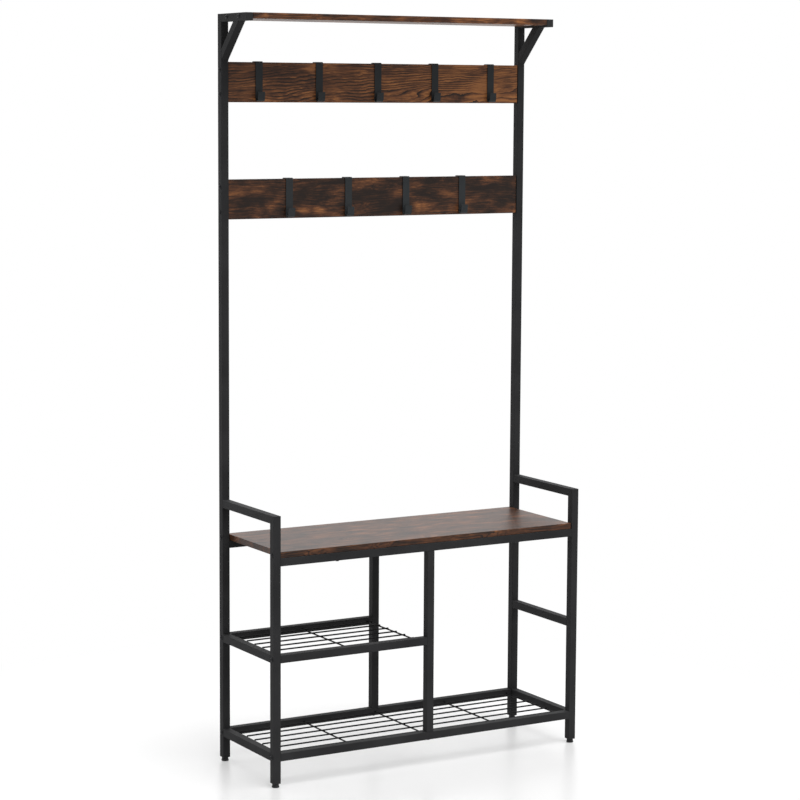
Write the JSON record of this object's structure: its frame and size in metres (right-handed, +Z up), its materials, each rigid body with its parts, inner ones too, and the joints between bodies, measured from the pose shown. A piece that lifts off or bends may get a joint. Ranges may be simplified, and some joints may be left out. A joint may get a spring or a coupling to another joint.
{
  "type": "hall tree with hooks",
  "caption": "Tall steel-tube hall tree with a wooden seat, wire shoe shelves, armrests, a top shelf and slide-on coat hooks on two wooden boards.",
  "frame": {"origin": "on the floor under the middle of the stand", "axes": "+X to the right along the seat as seen from the front, +Y to the rear (the wall side), +Z up"},
  "size_m": [0.9, 0.3, 1.9],
  "materials": {
    "frame_black": "matt black powder coat",
    "hook_black": "matt black powder coat",
    "board_brown": "rustic brown wood-grain laminate, satin",
    "plastic_black": "moulded, matt",
    "zinc_plated": "zinc plated",
    "bolt_black": "black oxide, satin"
  },
  "bodies": {
    "stand": {"rear_post_lower_left": "frame_black", "rear_post_upper_left": "frame_black", "front_leg_left": "frame_black", "armrest_left": "frame_black", "side_rail_middle_left": "frame_black", "side_rail_bottom_left": "frame_black", "shelf_arm_left": "frame_black", "shelf_brace_left": "frame_black", "rear_post_lower_right": "frame_black", "rear_post_upper_right": "frame_black", "front_leg_right": "frame_black", "armrest_right": "frame_black", "side_rail_middle_right": "frame_black", "side_rail_bottom_right": "frame_black", "shelf_arm_right": "frame_black", "shelf_brace_right": "frame_black", "seat_rail_front": "frame_black", "middle_rail_front": "frame_black", "bottom_rail_front": "frame_black", "centre_post_front": "frame_black", "seat_rail_rear": "frame_black", "middle_rail_rear": "frame_black", "bottom_rail_rear": "frame_black", "centre_post_rear": "frame_black", "wire_shelf_bottom": "frame_black", "wire_shelf_middle": "frame_black", "post_sleeve_left": "zinc_plated", "arm_end_cap_left": "plastic_black", "post_sleeve_right": "zinc_plated", "arm_end_cap_right": "plastic_black", "seat_board": "board_brown", "top_shelf_board": "board_brown", "hook_board_upper": "board_brown", "hook_board_lower": "board_brown", "foot_plug_front_left": "plastic_black", "foot_plug_rear_left": "plastic_black", "foot_plug_front_right": "plastic_black", "foot_plug_rear_right": "plastic_black", "seat_bolt_front_left": "bolt_black", "seat_bolt_front_right": "bolt_black", "seat_bolt_rear_left": "bolt_black", "seat_bolt_rear_right": "bolt_black"},
    "hook_upper_1": {"hook_upper_1": "hook_black"},
    "hook_upper_2": {"hook_upper_2": "hook_black"},
    "hook_upper_3": {"hook_upper_3": "hook_black"},
    "hook_upper_4": {"hook_upper_4": "hook_black"},
    "hook_upper_5": {"hook_upper_5": "hook_black"},
    "hook_lower_1": {"hook_lower_1": "hook_black"},
    "hook_lower_2": {"hook_lower_2": "hook_black"},
    "hook_lower_3": {"hook_lower_3": "hook_black"},
    "hook_lower_4": {"hook_lower_4": "hook_black"},
    "foot_pad_front_left": {"foot_pad_front_left": "plastic_black"},
    "foot_stud_front_left": {"foot_stud_front_left": "zinc_plated"},
    "foot_pad_rear_left": {"foot_pad_rear_left": "plastic_black"},
    "foot_stud_rear_left": {"foot_stud_rear_left": "zinc_plated"},
    "foot_pad_front_right": {"foot_pad_front_right": "plastic_black"},
    "foot_stud_front_right": {"foot_stud_front_right": "zinc_plated"},
    "foot_pad_rear_right": {"foot_pad_rear_right": "plastic_black"},
    "foot_stud_rear_right": {"foot_stud_rear_right": "zinc_plated"}
  },
  "joints": [
    {"name": "hook_upper_1_slide", "type": "slide", "parent": "stand", "child": "hook_upper_1", "axis": [1, 0, 0], "range_m": [-0.075, 0.075]},
    {"name": "hook_upper_2_slide", "type": "slide", "parent": "stand", "child": "hook_upper_2", "axis": [1, 0, 0], "range_m": [-0.075, 0.075]},
    {"name": "hook_upper_3_slide", "type": "slide", "parent": "stand", "child": "hook_upper_3", "axis": [1, 0, 0], "range_m": [-0.075, 0.075]},
    {"name": "hook_upper_4_slide", "type": "slide", "parent": "stand", "child": "hook_upper_4", "axis": [1, 0, 0], "range_m": [-0.075, 0.075]},
    {"name": "hook_upper_5_slide", "type": "slide", "parent": "stand", "child": "hook_upper_5", "axis": [1, 0, 0], "range_m": [-0.075, 0.075]},
    {"name": "hook_lower_1_slide", "type": "slide", "parent": "stand", "child": "hook_lower_1", "axis": [1, 0, 0], "range_m": [-0.16, 0.075]},
    {"name": "hook_lower_2_slide", "type": "slide", "parent": "stand", "child": "hook_lower_2", "axis": [1, 0, 0], "range_m": [-0.075, 0.075]},
    {"name": "hook_lower_3_slide", "type": "slide", "parent": "stand", "child": "hook_lower_3", "axis": [1, 0, 0], "range_m": [-0.075, 0.075]},
    {"name": "hook_lower_4_slide", "type": "slide", "parent": "stand", "child": "hook_lower_4", "axis": [1, 0, 0], "range_m": [-0.075, 0.16]},
    {"name": "foot_front_left_height", "type": "slide", "parent": "stand", "child": "foot_pad_front_left", "axis": [0, 0, -1], "range_m": [0, 0.01]},
    {"name": "foot_front_left_turn", "type": "hinge", "parent": "foot_pad_front_left", "child": "foot_stud_front_left", "pos_m": [-0.44, -0.14, 0.02], "axis": [0, 0, -1], "range_deg": [0, 3600]},
    {"name": "foot_rear_left_height", "type": "slide", "parent": "stand", "child": "foot_pad_rear_left", "axis": [0, 0, -1], "range_m": [0, 0.01]},
    {"name": "foot_rear_left_turn", "type": "hinge", "parent": "foot_pad_rear_left", "child": "foot_stud_rear_left", "pos_m": [-0.44, 0.14, 0.02], "axis": [0, 0, -1], "range_deg": [0, 3600]},
    {"name": "foot_front_right_height", "type": "slide", "parent": "stand", "child": "foot_pad_front_right", "axis": [0, 0, -1], "range_m": [0, 0.01]},
    {"name": "foot_front_right_turn", "type": "hinge", "parent": "foot_pad_front_right", "child": "foot_stud_front_right", "pos_m": [0.44, -0.14, 0.02], "axis": [0, 0, -1], "range_deg": [0, 3600]},
    {"name": "foot_rear_right_height", "type": "slide", "parent": "stand", "child": "foot_pad_rear_right", "axis": [0, 0, -1], "range_m": [0, 0.01]},
    {"name": "foot_rear_right_turn", "type": "hinge", "parent": "foot_pad_rear_right", "child": "foot_stud_rear_right", "pos_m": [0.44, 0.14, 0.02], "axis": [0, 0, -1], "range_deg": [0, 3600]}
  ],
  "couplings": [
    {"joint": "foot_front_left_turn", "follows": "foot_front_left_height", "rad_per_m": 6283.2},
    {"joint": "foot_rear_left_turn", "follows": "foot_rear_left_height", "rad_per_m": 6283.2},
    {"joint": "foot_front_right_turn", "follows": "foot_front_right_height", "rad_per_m": 6283.2},
    {"joint": "foot_rear_right_turn", "follows": "foot_rear_right_height", "rad_per_m": 6283.2}
  ]
}
